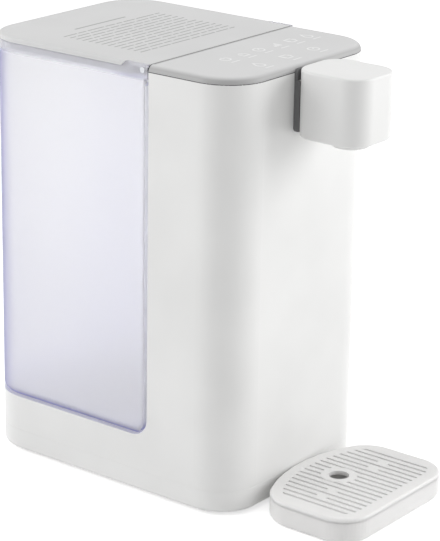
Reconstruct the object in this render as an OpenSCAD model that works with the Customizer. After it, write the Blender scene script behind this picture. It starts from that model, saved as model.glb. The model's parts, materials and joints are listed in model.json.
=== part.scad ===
// Instant hot water dispenser for a worktop: a white body whose front column holds the
// works, a clear tank on the rear deck under a hinged lid, a spout head and a drip tray.
// X runs across, Y to the back and Z up. The table is z = 0, and the origin lies under the
// middle of the whole product.

/* [Body] */
// Width of the body and of the tank
body_w = 158; // [150:1:176]
// Depth of the body from its flat front to the back of the tank
body_d = 219; // [214:1:240]
// Height of the flat top above the table
body_h = 302; // [290:1:325]
// Plan radius of the four upright corners
corner_r = 30; // [30:1:42]
// Wall of the white mouldings
wall = 2.5; // [2:0.1:3]
// Height of the deck that the tank stands on
deck_h = 43; // [43:1:52]
// Radius where the deck turns up into the bulkhead
bay_r = 13; // [8:1:18]
// Height of the joint line between base and shell
base_joint_h = 18; // [15:1:22]
// Rounding of the base's lower edge
base_edge_r = 4; // [3:0.5:6]
// Height of the rubber feet under the base
foot_h = 2; // [1:0.5:3]
// Radius of a rubber foot
foot_r = 9; // [6:0.5:11]

/* [Tank] */
// Depth of the tank from the lid seam to the back
tank_d = 147; // [140:1:154]
// Wall of the clear tank
tank_wall = 2.5; // [2:0.1:3.2]
// Thickness of the tank floor
tank_floor = 3; // [2.5:0.5:4]
// Rounding of the tank's lower edge at the sides and back
tank_edge_r = 5; // [4:0.5:6]
// Rounding of the tank's lower front edge, seen from the side
tank_toe_r = 12; // [8:1:16]
// Set-back of the tank's front below the lid ears
tank_step = 1.5; // [1:0.1:4]
// Length of a lid ear along the top of the tank's side
ear_l = 22; // [17:1:26]
// Distance of the valve behind the tank's front
valve_back = 76; // [72:1:90]

/* [Lid and panel] */
// Thickness of the lid's edge
lid_t = 3.5; // [3:0.1:4.5]
// Thickness of the lid's plate
lid_plate_t = 2.5; // [2:0.1:2.9]
// Rounding of the lid's top edge
lid_edge_r = 1.2; // [0.5:0.1:2]
// Depth of the lid's inner skirt below its plate
skirt_h = 6; // [4:0.5:9]
// Wall of the lid's inner skirt
skirt_wall = 1.8; // [1.4:0.1:2.4]
// Radius of the lid's hinge pins
hinge_pin_r = 2; // [1.5:0.1:2.2]
// Distance of the hinge axis behind the lid's front edge
hinge_back = 4.5; // [4.2:0.1:5]
// Distance of the hinge axis below the lid's top
hinge_drop = 4; // [3.8:0.1:4.5]
// Rounding of the lid's nose at the seam
lid_nose_r = 2; // [1.5:0.1:2.5]
// Width of the dark seam between lid and panel
seam_gap = 1.2; // [1:0.1:1.8]
// Height of the control panel above the shell
panel_t = 4.5; // [4:0.1:6]
// Thickness of the control panel's skin
panel_skin = 2.2; // [1.8:0.1:2.8]

/* [Spout head] */
// Width of the head
head_w = 48; // [44:1:56]
// Reach of the head in front of the body
head_reach = 56; // [52:1:64]
// Height of the head
head_h = 45; // [40:0.5:52]
// Plan radius of the head's corners
head_r = 16; // [14:1:21]
// Rounding of the head's top and bottom edges
head_edge_r = 1.6; // [0.8:0.1:2.4]
// Distance of the head's top below the body's top
head_drop = 0.5; // [0.5:0.5:5]
// Shadow gap between head and body
head_gap = 2.4; // [1.5:0.1:3]
// Wall of the head's cover
head_wall = 2.2; // [1.8:0.1:2.6]
// Reach of the nozzle's axis in front of the body
nozzle_reach = 34; // [27:1:34]
// Outer radius of the nozzle ring
nozzle_r = 12.5; // [11:0.5:14]
// Height of the nozzle ring below the head
nozzle_h = 5; // [3:0.5:8]
// Radius of the water outlet
outlet_r = 4; // [3:0.5:5]

/* [Drip tray] */
// Width of the tray
tray_w = 122; // [112:1:130]
// Reach of the tray in front of the body
tray_reach = 86; // [82:1:96]
// Height of the tray
tray_h = 19; // [16:0.5:20]
// Plan radius of the tray's bowed rear edge
tray_arc_r = 112; // [84:1:130]
// Plan radius of the tray's rear corners
tray_rear_r = 25; // [18:1:28]
// Plan radius of the tray's front corners
tray_front_r = 22; // [18:1:26]
// Rounding of the tray's lower edge
tray_edge_r = 5; // [3:0.5:6]
// Wall of the tray
tray_wall = 2.2; // [1.8:0.1:2.8]
// Gap between tray and body
tray_gap = 0.5; // [0.3:0.1:1]
// Thickness of the grille, which covers the whole pan
grille_t = 3; // [2:0.1:4]
// Rounding of the grille's top edge
grille_edge_r = 1.8; // [0.8:0.1:1.9]
// Distance between drain slots
slot_pitch = 6; // [5.4:0.1:6.3]
// Width of a drain slot
slot_w = 2.1; // [1.6:0.1:2.6]
// Drain slots to each side of the middle one
slot_side = 8; // [6:1:8]
// Margin between the tray's outline and the slot ends
slot_margin = 8.5; // [8.5:0.5:12]
// Radius of the finger hole under the nozzle
finger_r = 7; // [6:0.5:9]
// Radius of the plain ring round the finger hole
ring_r = 12.5; // [11:0.5:15]

/* [Works] */
// Outer radius of the heater tube
heater_r = 15; // [13:0.5:17]
// Length of the heater tube
heater_l = 130; // [110:1:140]
// Outer radius of the pump housing
pump_r = 17; // [16:0.5:17.5]
// Length of the pump housing
pump_l = 16; // [15:0.5:18]
// Outer radius of the pump motor
motor_r = 12; // [10:0.5:13]
// Length of the pump motor
motor_l = 30; // [26:1:33]
// Outer radius of the flow meter
flow_r = 11; // [10:0.5:13]
// Length of the flow meter
flow_l = 22; // [20:1:24]
// Outer radius of a hose barb
barb_r = 4; // [3.5:0.1:4.5]
// Bore radius of a hose barb
barb_bore_r = 2.5; // [2:0.1:2.8]
// Length of a hose barb
barb_l = 10; // [8:0.5:11]
// Wall of the silicone hoses
hose_wall = 1.8; // [1.4:0.1:2.2]
// Width of the power board
board_w = 52; // [46:1:54]
// Height of the power board
board_h = 120; // [105:1:130]

/* [Clearances] */
// Gap between parts that lift or swing apart
loose_gap = 0.4; // [0.3:0.05:0.6]
// Gap between parts that stand on each other
seat_gap = 0.3; // [0.2:0.05:0.4]
// Radial clearance of pins and shafts in their bores
run_gap = 0.05; // [0.02:0.01:0.1]

/* [Hidden] */
$fn = 64;

// Colours of the finishes
white = "#ececea";
grey = "#d6d6d4";
clear_tint = "#d8d6e6";
silicone = "#dcdcd6";
steel = "#b9bcc0";
black = "#2b2c2e";
board_green = "#2f6b4a";

// Overshoot of cutting tools
cut = 1;
// Points closer than this are one point
touch = 0.01;

// Planes of the body
half_w = body_w / 2;
rear_y = (body_d + tray_reach) / 2;
front_y = rear_y - body_d;
tank_front_y = rear_y - tank_d;
bay_y = tank_front_y - seam_gap;
bulk_y = bay_y - wall;
inner_front_y = front_y + wall;
shell_top = body_h - panel_t;
base_floor = foot_h + wall;
deck_under = deck_h - wall;

// Tank, lid and hinge
tank_z = deck_h + seat_gap;
tank_inner_z = tank_z + tank_floor;
rim_z = body_h - lid_t - seat_gap;
hinge_y = tank_front_y + hinge_back;
hinge_z = body_h - hinge_drop;
nose_sweep = norm([hinge_back - lid_nose_r, hinge_drop - lid_nose_r]) + lid_nose_r;
front_wall_top = hinge_z - nose_sweep - 1;
ear_foot_z = front_wall_top - 4;
ear_slope = body_h - rim_z;
lid_half_w = half_w - tank_wall - loose_gap;
plate_z = body_h - lid_plate_t;
knuckle_r = hinge_pin_r + 1.5;
knuckle_l = 10;

// Tank valve and the socket it stands in, on one upright axis
valve_y = tank_front_y + valve_back;
spigot_r = 13;
spigot_bore_r = 10.5;
spigot_z = deck_h - 7;
seat_r = 5;
seat_t = 2.5;
gasket_t = 1;
flange_r = 17.5;
cage_h = 11;
flange_h = 2;
cage_top = tank_inner_z + gasket_t + flange_h + cage_h;
poppet_r = 8;
poppet_t = 2.5;
poppet_z = spigot_z + seat_t;
stem_r = 2.5;
stem_below = 3;
socket_bore_r = spigot_r + 1.5;
socket_r = socket_bore_r + 2;
cradle_t = 2.5;
line_z = base_floor + cradle_t + pump_r;
socket_sump = 3.5;
socket_floor_z = line_z - socket_sump;
socket_floor_t = 2.5;
socket_lip = 4.5;

// Water line along Y under the deck, then up the column
hose_r = barb_r + hose_wall;
motor_clear = 4.5;
pump_y = inner_front_y + motor_clear + motor_l + pump_l / 2;
pump_rear_y = pump_y + pump_l / 2;
pump_front_y = pump_y - pump_l / 2;
pump_wall = 2.5;
pump_cavity_r = pump_r - pump_wall;
riser_x = 0;
line_x = riser_x - pump_cavity_r + barb_r;
flow_y = (pump_rear_y + valve_y - socket_r) / 2;
flow_rear_y = flow_y + flow_l / 2;
flow_front_y = flow_y - flow_l / 2;
pump_outlet_z = line_z + pump_r + barb_l;
shaft_r = 1.5;
pin_r = 1.2;
cap_t = 6;
cap_lap = 5;
heater_base_z = pump_outlet_z + barb_l + 20;
heater_top_z = heater_base_z + heater_l;
cap_r = heater_r + 2.5;
strap_reach = 6.8;
heater_y = bulk_y - strap_reach - cap_r;
probe_r = 2;
probe_head_r = 3;
probe_off = hose_r + probe_head_r + seat_gap;
tube_wall = 2;

// Spout head
head_top = body_h - head_drop;
head_z = head_top - head_h;
head_back_y = front_y - head_gap;
head_front_y = front_y - head_reach;
nozzle_y = front_y - nozzle_reach;
head_floor_t = 2.5;
neck_half_w = head_w / 2 - 8;
neck_z = head_z + head_floor_t;
neck_top = head_top - 9;
neck_end_y = head_back_y - head_r / 2;
neck_wall = 2.5;
shelf_t = 3;
flange_t = 3;
flange_lap = 5;
shelf_top = neck_z + shelf_t;
chamber_half = 15;
chamber_h = 21;
chamber_wall = 2;
nozzle_tube_r = outlet_r + 2.5;
spout_line_z = shelf_top + chamber_h / 2 + 1.5;
elbow_r = 16;

// Drip tray
tray_back_y = front_y - tray_gap;
tray_front_y = front_y - tray_reach;
grille_z = tray_h - grille_t;
pan_top = grille_z - seat_gap;
grille_lip_t = 1.6;
grille_lip_h = 2;
edge_steps = 4;
arc_steps = 12;
pocket_wall = 1.5;
bridge_l = 8;
bridge_back = 11.5;
magnet_w = 26;
magnet_t = 3;
magnet_h = 6;
magnet_z = foot_h + base_edge_r;
stop_t = 2;
pocket_y = tray_back_y - tray_wall - pocket_wall;

// Boards and their fixings
board_t = 1.6;
post_l = 8;
board_front_y = bulk_y - post_l;
board_left_x = -half_w + wall + 6;
board_mid_z = heater_base_z + heater_l / 2 - 10;
post_inset = 5;
post_r = 3;
small_screw_r = 1.4;
touch_z = plate_z - 9;
foot_inset = 26;
boss_r = 5;
foot_gap = 3;
boss_h = 20;
screw_r = 1.9;
screw_head_r = 3.8;
screw_head_t = 2.5;
head_sink = 6;
screw_tip_gap = 8;
recess_l = 4.8;
recess_w = 0.9;
recess_d = 1.2;
thread_gap = 0.1;
screw_clear = 0.3;
web_t = 2;
gland_x = 28;
gland_z = (base_joint_h + deck_under) / 2;
gland_pad_r = (deck_under - base_joint_h) / 2 - seat_gap;
gland_r = 8;
gland_neck_r = 6;
gland_bore_r = 3.6;
gland_pad_t = 7;
gland_sink = 0.2;
gland_head_t = 2;
gland_nut_t = 3;

// Outlines are lists of arcs: centre x, centre y, radius, start angle, end angle
function rect_path(w, y0, y1, r) = [
    [w / 2 - r, y0 + r, r, -90, 0],
    [w / 2 - r, y1 - r, r, 0, 90],
    [r - w / 2, y1 - r, r, 90, 180],
    [r - w / 2, y0 + r, r, 180, 270]];

// The same arcs with every radius changed by grow
function grown(path, grow) = [for (a = path) [a[0], a[1], a[2] + grow, a[3], a[4]]];

// The tray's outline: a bowed rear edge that runs tangent into its corners
function tray_path_of(hw, y0, y1, rf, rr, arc) =
    let (
        mid_y = y1 - arc,
        corner_y = mid_y + sqrt((arc - rr) * (arc - rr) - (hw - rr) * (hw - rr)),
        turn = atan2(corner_y - mid_y, hw - rr))
    [
        [hw - rf, y0 + rf, rf, -90, 0],
        [hw - rr, corner_y, rr, 0, turn],
        [0, mid_y, arc, turn, 180 - turn],
        [rr - hw, corner_y, rr, 180 - turn, 180],
        [rf - hw, y0 + rf, rf, 180, 270]];

function arc_point(a, t) = [a[0] + a[2] * cos(t), a[1] + a[2] * sin(t)];

body_path = rect_path(body_w, front_y, rear_y, corner_r);
tray_path = tray_path_of(tray_w / 2, tray_front_y, tray_back_y, tray_front_r, tray_rear_r, tray_arc_r);
head_path = rect_path(head_w, head_front_y, head_back_y, head_r);

// Flat area inside an outline: the chords' polygon and the round segment over each chord
module fill(path) {
    polygon([for (a = path) each [arc_point(a, a[3]), arc_point(a, a[4])]]);
    for (a = path) {
        mid = (a[3] + a[4]) / 2;
        root = arc_point([a[0], a[1], a[2] * cos(mid - a[3]) / 2], mid);
        start = arc_point(a, a[3]);
        finish = arc_point(a, a[4]);
        intersection() {
            translate([a[0], a[1]]) circle(r = a[2]);
            polygon([root, 2 * start - root, 2 * arc_point(a, mid) - root, 2 * finish - root]);
        }
    }
}

// Upright prism over an outline
module prism(path, z0, z1) {
    translate([0, 0, z0]) linear_extrude(z1 - z0) fill(path);
}

// A section swept round an outline; the section's x = 0 lies on the outline
module sweep(path) {
    for (i = [0 : len(path) - 1]) {
        a = path[i];
        b = path[(i + 1) % len(path)];
        p = arc_point(a, a[4]);
        q = arc_point(b, b[3]);
        translate([a[0], a[1], 0]) rotate([0, 0, a[3]])
            rotate_extrude(angle = a[4] - a[3]) translate([a[2], 0]) children();
        if (norm(q - p) > touch)
            translate([q[0], q[1], 0]) rotate([0, 0, a[4]]) rotate([90, 0, 0])
                linear_extrude(norm(q - p)) children();
    }
}

// A side-view shape, drawn as y and z, carried across the full width
module across(w) {
    translate([-w / 2, 0, 0]) rotate([90, 0, 90]) linear_extrude(w) children();
}

// Box between two corners
module box(low, high) {
    translate(low) cube(high - low);
}

// Rod along Y or X from a start point
module rod_y(r, x, y0, y1, z) {
    translate([x, y1, z]) rotate([90, 0, 0]) cylinder(r = r, h = y1 - y0);
}

module rod_x(r, x0, x1, y, z) {
    translate([x0, y, z]) rotate([0, 90, 0]) cylinder(r = r, h = x1 - x0);
}

module rod_z(r, x, y, z0, z1) {
    translate([x, y, z0]) cylinder(r = r, h = z1 - z0);
}

// Four places in mirror pairs
module four(x, y0, y1) {
    for (sx = [-1, 1], y = [y0, y1]) translate([sx * x, y, 0]) children();
}

// Side view of the tank's space, grown forwards and down by skin
module bay_side(skin) {
    y0 = bay_y - skin;
    z0 = deck_h - skin;
    r = bay_r + skin;
    reach_y = body_d;
    reach_z = body_h;
    translate([y0, z0 + r]) square([reach_y, reach_z]);
    translate([y0 + r, z0]) square([reach_y, reach_z]);
    translate([y0 + r, z0 + r]) circle(r = r);
}

module base_posts() {
    four(half_w - foot_inset, front_y + foot_inset, rear_y - foot_inset) children();
}

// White outer shell: front column, bulkhead and deck in one moulding, open below
module outer_shell() {
    color(white) difference() {
        union() {
            difference() {
                prism(body_path, base_joint_h, shell_top);
                across(body_w + 2 * cut) bay_side(0);
                difference() {
                    prism(grown(body_path, -wall), base_joint_h - cut, shell_top + cut);
                    across(body_w + 2 * cut) bay_side(wall);
                }
            }
            shell_bosses();
            shell_ribs();
            board_posts();
            rod_y(gland_pad_r, gland_x, rear_y - gland_pad_t, rear_y - wall / 2, gland_z);
        }
        base_posts() translate([0, 0, base_joint_h - cut]) cylinder(r = screw_r + thread_gap, h = boss_h);
        rod_z(socket_r + seat_gap, 0, valve_y, deck_under - cut, deck_h + cut);
        box([-neck_half_w - seat_gap, front_y - cut, neck_z - seat_gap],
            [neck_half_w + seat_gap, inner_front_y + cut, neck_top + seat_gap]);
        rod_y(gland_neck_r + gland_sink, gland_x, rear_y - gland_pad_t - cut, rear_y + cut, gland_z);
        rod_y(gland_r + gland_sink, gland_x, rear_y - gland_sink - gland_head_t, rear_y + cut, gland_z);
        board_holes() rod_y(small_screw_r + thread_gap, 0, bulk_y - post_l - cut, bulk_y, 0);
    }
}

// Screw bosses on the base posts, webbed to the side walls
module shell_bosses() {
    boss_top = base_joint_h + boss_h;
    base_posts() translate([0, 0, base_joint_h]) cylinder(r = boss_r, h = boss_h);
    intersection() {
        prism(grown(body_path, -wall / 2), base_joint_h, boss_top);
        for (sx = [-1, 1], y = [front_y + foot_inset, rear_y - foot_inset]) translate([0, y, 0])
            mirror([sx < 0 ? 1 : 0, 0, 0])
                box([half_w - foot_inset + boss_r - web_t / 2, -web_t / 2, base_joint_h],
                    [half_w, web_t / 2, boss_top]);
    }
}

// Upright stiffening ribs on the inside of the column's side walls
module shell_ribs() {
    rib_t = 1.6;
    rib_end = 12;
    rib_d = 4;
    rib_z0 = base_joint_h + boss_h + rib_end;
    rib_z1 = shell_top - rib_end;
    for (sx = [-1, 1], y = [front_y + corner_r, (front_y + corner_r + bulk_y) / 2]) {
        x0 = half_w - wall - rib_d;
        x1 = half_w - wall / 2;
        box([min(sx * x0, sx * x1), y - rib_t / 2, rib_z0],
            [max(sx * x0, sx * x1), y + rib_t / 2, rib_z1]);
    }
}

module board_holes() {
    for (sx = [0, 1], sz = [-1, 1])
        translate([board_left_x + post_inset + sx * (board_w - 2 * post_inset), 0,
            board_mid_z + sz * (board_h / 2 - post_inset)]) children();
}

module board_posts() {
    board_holes() rod_y(post_r, 0, board_front_y, bay_y - wall / 2, 0);
}

// Base moulding: rounded skirt, floor, screw posts and a tongue inside the shell
module base_plate() {
    tongue = 1.5;
    tongue_h = 8;
    tongue_root = 5;
    tongue_foot = 3;
    skirt_top = base_joint_h - seat_gap;
    color(white) difference() {
        union() {
            sweep(body_path) {
                translate([-wall, foot_h + base_edge_r]) square([wall, skirt_top - foot_h - base_edge_r]);
                intersection() {
                    translate([-base_edge_r, foot_h + base_edge_r]) difference() {
                        circle(r = base_edge_r);
                        circle(r = base_edge_r - wall);
                    }
                    translate([-base_edge_r, foot_h]) square(base_edge_r);
                }
                translate([-wall - seat_gap - tongue, skirt_top - tongue_root]) {
                    square([tongue, tongue_h]);
                    square([tongue + wall, tongue_foot]);
                }
            }
            prism(grown(body_path, -base_edge_r), foot_h, base_floor);
            base_posts() translate([0, 0, foot_h]) cylinder(r = boss_r, h = base_joint_h - foot_h);
            magnet_stop();
        }
        base_posts() translate([0, 0, foot_h - cut]) cylinder(r = screw_r + screw_clear, h = base_joint_h + cut);
        base_posts() translate([0, 0, foot_h - cut]) cylinder(r = screw_head_r + screw_clear, h = cut + head_sink);
        base_vents();
        tongue_clear();
    }
}

// The tongue stops short of the shell's webs and ribs
module tongue_clear() {
    for (sx = [-1, 1], y = [front_y + foot_inset, rear_y - foot_inset]) {
        x0 = half_w - foot_inset;
        x1 = half_w - wall;
        box([min(sx * x0, sx * x1), y - 1.25 * web_t, base_joint_h - seat_gap / 2],
            [max(sx * x0, sx * x1), y + 1.25 * web_t, base_joint_h + boss_h / 2]);
    }
    rod_y(gland_pad_r + cut, gland_x, rear_y - gland_pad_t - gland_nut_t, rear_y - wall, gland_z);
}

module base_vents() {
    vent_count = 7;
    vent_pitch = 7;
    vent_w = 3;
    vent_l = 30;
    y0 = valve_y + socket_r + 8;
    for (i = [0 : vent_count - 1]) {
        x = (i - (vent_count - 1) / 2) * vent_pitch;
        box([x - vent_w / 2, y0, foot_h - cut], [x + vent_w / 2, y0 + vent_l, base_floor + cut]);
    }
}

// Two steps that carry the magnet, each with a stop behind it
module magnet_stop() {
    y0 = front_y + base_edge_r;
    y1 = inner_front_y + magnet_t + seat_gap;
    for (x = [-magnet_w / 3, magnet_w / 3]) {
        box([x - stop_t / 2, y0, foot_h + wall / 2], [x + stop_t / 2, y1 + stop_t, magnet_z]);
        box([x - stop_t / 2, y1, foot_h + wall / 2], [x + stop_t / 2, y1 + stop_t, magnet_z + magnet_h / 2]);
    }
}

// Bar magnet behind the base's front wall that holds the tray
module base_magnet() {
    color(steel) box([-magnet_w / 2, inner_front_y + run_gap, magnet_z],
        [magnet_w / 2, inner_front_y + run_gap + magnet_t, magnet_z + magnet_h]);
}

module rubber_feet() {
    bevel = 0.8;
    inset = foot_inset + boss_r + foot_r + foot_gap;
    color(black) four(half_w - foot_inset, front_y + inset, rear_y - inset)
        rotate_extrude() difference() {
            square([foot_r, foot_h]);
            translate([foot_r - bevel, -touch]) polygon([[0, 0], [2 * bevel, 0], [2 * bevel, 2 * bevel]]);
        }
}

// Screws from below through the base posts into the shell
module base_screws() {
    low_z = foot_h + head_sink - screw_head_t;
    color(steel) base_posts() difference() {
        union() {
            translate([0, 0, low_z]) cylinder(r = screw_head_r, h = screw_head_t);
            translate([0, 0, low_z]) cylinder(r = screw_r, h = base_joint_h + boss_h - screw_tip_gap - low_z);
        }
        for (a = [0, 90]) rotate([0, 0, a])
            box([-recess_l / 2, -recess_w / 2, low_z - cut], [recess_l / 2, recess_w / 2, low_z + recess_d]);
    }
}

// Gland for the mains lead, let in flush at the back
module cord_gland() {
    color(black) translate([gland_x, rear_y, gland_z]) rotate([90, 0, 0]) rotate_extrude() {
        translate([gland_bore_r, gland_sink]) square([gland_r - gland_bore_r, gland_head_t]);
        translate([gland_bore_r, gland_sink])
            square([gland_neck_r - gland_bore_r, gland_pad_t + gland_nut_t - gland_sink]);
        translate([gland_bore_r, gland_pad_t]) square([gland_r - gland_bore_r, gland_nut_t]);
    }
}

// Grey touch panel: domed edge round the front, lip inside the shell, posts for its board
module control_panel() {
    lip_t = 1.6;
    lip_h = 6;
    lap = 0.5;
    low_z = shell_top - lip_h - cut;
    neck_clear = neck_half_w + flange_lap + web_t;
    color(grey) {
        intersection() {
            union() {
                sweep(body_path) {
                    intersection() {
                        translate([-panel_t, shell_top]) difference() {
                            circle(r = panel_t);
                            circle(r = panel_t - panel_skin);
                        }
                        translate([-panel_t, shell_top]) square(panel_t);
                    }
                    translate([-wall - seat_gap - lip_t, shell_top - lip_h])
                        square([lip_t, lip_h + panel_t - panel_skin + lap]);
                }
                prism(grown(body_path, -panel_t), body_h - panel_skin, body_h);
            }
            difference() {
                box([-body_w, front_y - cut, low_z], [body_w, bay_y, body_h + cut]);
                box([-body_w, bulk_y - seat_gap, low_z - cut], [body_w, bay_y + cut, shell_top]);
                box([-neck_clear, front_y, low_z - cut], [neck_clear, inner_front_y + flange_t + cut, shell_top]);
            }
        }
        box([-half_w + panel_skin, bulk_y, shell_top], [half_w - panel_skin, bay_y, body_h - panel_skin + lap]);
        touch_posts() rod_z(touch_post_r, 0, 0, touch_z + board_t, body_h - panel_skin + lap);
    }
}

touch_half_w = half_w - 18;
touch_y0 = front_y + 12;
touch_y1 = bulk_y - 8;
touch_post_in = 4;
touch_post_r = 2.5;
// Sensing springs under the icons: row place, pitch along X and the first one's place
back_row_y = front_y + 44.5;
back_pitch = 18;
back_keys = [for (i = [0 : 5]) (i - 2) * back_pitch];
front_row_y = front_y + 19;
front_pitch = 30;
front_keys = [for (i = [0 : 2]) (i - 1.15) * front_pitch];
key_r = 3.5;
plug_half_w = 9;
plug_l = 8;
plug_h = 5;

module touch_posts() {
    for (sx = [-1, 1], y = [touch_y0 + touch_post_in, touch_y1 - touch_post_in])
        translate([sx * (touch_half_w - touch_post_in), y, 0]) children();
}

// Touch board: two rows of sensing springs that press against the panel's skin
module touch_board() {
    z0 = touch_z + board_t / 2;
    z1 = body_h - panel_skin - seat_gap;
    plug_y = (front_row_y + back_row_y) / 2;
    color(board_green) {
        box([-touch_half_w, touch_y0, touch_z], [touch_half_w, touch_y1, touch_z + board_t]);
        for (x = back_keys) rod_z(key_r, x, back_row_y, z0, z1);
        for (x = front_keys) rod_z(key_r, x, front_row_y, z0, z1);
        box([-plug_half_w, plug_y - plug_l / 2, touch_z - plug_h], [plug_half_w, plug_y + plug_l / 2, z0]);
    }
}

// Parts on the power board: left, right, low and high edge from its corner, and height
board_parts = [
    [8, 30, 14, 36, 18],
    [34, 48, 12, 30, 14],
    [12, 40, 86, 108, 12]];
// Round parts: x and z from its corner, radius and height
board_cans = [
    [16, 60, 7, 20],
    [34, 58, 5, 16]];
sink_fins = 5;
sink_pitch = 5;
sink_fin_t = 2;
sink_fin_h = 10;
solder = 0.2;

// Power board on posts from the bulkhead, parts towards the front
module power_board() {
    y1 = board_front_y;
    y0 = y1 - board_t;
    x0 = board_left_x;
    z0 = board_mid_z - board_h / 2;
    sink = board_parts[2];
    color(board_green) difference() {
        union() {
            box([x0, y0, z0], [x0 + board_w, y1, z0 + board_h]);
            for (p = board_parts)
                box([x0 + p[0], y0 - p[4], z0 + p[2]], [x0 + p[1], y0 + solder, z0 + p[3]]);
            for (c = board_cans) rod_y(c[2], x0 + c[0], y0 - c[3], y0 + solder, z0 + c[1]);
            for (i = [0 : sink_fins - 1]) {
                x = x0 + sink[0] + sink_fin_t + i * sink_pitch;
                box([x, y0 - sink[4] - sink_fin_h, z0 + sink[2] + sink_fin_t],
                    [x + sink_fin_t, y0 - sink[4] + cut, z0 + sink[3] - sink_fin_t]);
            }
        }
        board_holes() rod_y(small_screw_r + solder, 0, y0 - cut, y1 + cut, 0);
    }
}

module board_screws() {
    small_head_r = 2.6;
    small_head_t = 1.8;
    y1 = board_front_y - board_t;
    color(steel) board_holes() {
        rod_y(small_head_r, 0, y1 - small_head_t, y1, 0);
        rod_y(small_screw_r, 0, y1 - small_head_t / 2, y1 + board_t + post_l - web_t, 0);
    }
}

// Socket under the deck: takes the tank's spigot, with the pin that opens the valve
module tank_coupling() {
    color(white) translate([0, valve_y, 0]) difference() {
        union() {
            rod_z(socket_r, 0, 0, socket_floor_z - socket_floor_t, deck_h);
            rod_z(socket_r + socket_lip, 0, 0, deck_under - socket_floor_t, deck_under);
            rod_y(barb_r, line_x, -socket_r - barb_l, -stem_r, line_z);
        }
        difference() {
            rod_z(socket_bore_r, 0, 0, socket_floor_z, deck_h + cut);
            rod_z(stem_r, 0, 0, socket_floor_z - cut, spigot_z - stem_below - seat_gap);
        }
        rod_y(barb_bore_r, line_x, -socket_r - barb_l - cut, -stem_r, line_z);
    }
}

module coupling_seal() {
    seal_t = 1.2;
    seal_h = 3;
    color(silicone) translate([0, valve_y, spigot_z + cut]) rotate_extrude()
        translate([socket_bore_r - seal_t, 0]) square([seal_t - run_gap, seal_h]);
}

// Straight hose along Y, pushed over two barbs
module hose_y(y0, y1) {
    difference() {
        rod_y(hose_r, line_x, y0, y1, line_z);
        rod_y(barb_r + run_gap, line_x, y0 - cut, y1 + cut, line_z);
    }
}

module inlet_hose() {
    color(silicone) hose_y(flow_rear_y + seat_gap, valve_y - socket_r - seat_gap);
}

module suction_hose() {
    color(silicone) hose_y(pump_rear_y + seat_gap, flow_front_y - seat_gap);
}

// Flow meter: round body in the line, its wheel on a fixed pin
module flow_meter() {
    wall_t = 1.8;
    foot_w = 12;
    foot_in = 3;
    bar_t = 1.5;
    bar_h = 2.4;
    color(white) difference() {
        union() {
            rod_y(flow_r, line_x, flow_front_y, flow_rear_y, line_z);
            rod_y(barb_r, line_x, flow_front_y - barb_l, flow_rear_y + barb_l, line_z);
            box([line_x - foot_w / 2, flow_front_y + foot_in, base_floor],
                [line_x + foot_w / 2, flow_rear_y - foot_in, line_z]);
        }
        difference() {
            rod_y(flow_r - wall_t, line_x, flow_front_y + wall_t, flow_rear_y - wall_t, line_z);
            rod_y(pin_r, line_x, flow_front_y, flow_rear_y, line_z);
            for (y = [flow_front_y + wall_t, flow_rear_y - wall_t - bar_t])
                box([line_x - flow_r, y, line_z - bar_h / 2], [line_x + flow_r, y + bar_t, line_z + bar_h / 2]);
        }
        rod_y(barb_bore_r, line_x, flow_front_y - barb_l - cut, flow_front_y + wall_t, line_z);
        rod_y(barb_bore_r, line_x, flow_rear_y - wall_t, flow_rear_y + barb_l + cut, line_z);
    }
}

module flow_wheel() {
    wheel_l = flow_l - 8;
    tip_r = flow_r - 3;
    hub_r = 3;
    blade_t = 1;
    blade_count = 6;
    blade_in = 1;
    color(white) translate([line_x, flow_y, line_z]) difference() {
        union() {
            rod_y(hub_r, 0, -wheel_l / 2, wheel_l / 2, 0);
            for (i = [0 : blade_count - 1]) rotate([0, i * 360 / blade_count, 0])
                box([0, blade_in - wheel_l / 2, -blade_t / 2], [tip_r, wheel_l / 2 - blade_in, blade_t / 2]);
        }
        rod_y(pin_r + run_gap, 0, -wheel_l, wheel_l, 0);
    }
}

// Pump housing: round volute with an inlet in line and an outlet up the tangent
module pump_housing() {
    color(white) difference() {
        union() {
            rod_y(pump_r, line_x, pump_front_y, pump_rear_y, line_z);
            rod_y(barb_r, line_x, pump_rear_y - cut, pump_rear_y + barb_l, line_z);
            rod_z(barb_r + hose_wall, riser_x, pump_y, line_z, pump_outlet_z - barb_l);
            rod_z(barb_r, riser_x, pump_y, line_z, pump_outlet_z);
        }
        rod_y(pump_cavity_r, line_x, pump_front_y + pump_wall, pump_rear_y - pump_wall, line_z);
        rod_y(barb_bore_r, line_x, pump_rear_y - pump_wall - cut, pump_rear_y + barb_l + cut, line_z);
        rod_z(barb_bore_r, riser_x, pump_y, line_z, pump_outlet_z + cut);
        rod_y(shaft_r + run_gap, line_x, pump_front_y - cut, pump_front_y + pump_wall + cut, line_z);
    }
}

// Impeller on the motor's shaft
module pump_rotor() {
    disc_t = 2;
    disc_y = pump_wall + 0.5;
    vane_t = 1.6;
    vane_gap = 3;
    vane_count = 6;
    shaft_end = 6;
    inside_l = pump_l - 2 * pump_wall;
    tip_r = pump_cavity_r - 1;
    color(white) translate([line_x, pump_front_y, line_z]) {
        rod_y(shaft_r, 0, shaft_end - motor_l, pump_wall + inside_l - disc_t, 0);
        rod_y(tip_r, 0, disc_y, disc_y + disc_t, 0);
        for (i = [0 : vane_count - 1]) rotate([0, i * 360 / vane_count, 0])
            box([shaft_r / 2, disc_y + disc_t / 2, -vane_t / 2],
                [tip_r, pump_wall + inside_l - vane_gap, vane_t / 2]);
    }
}

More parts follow.
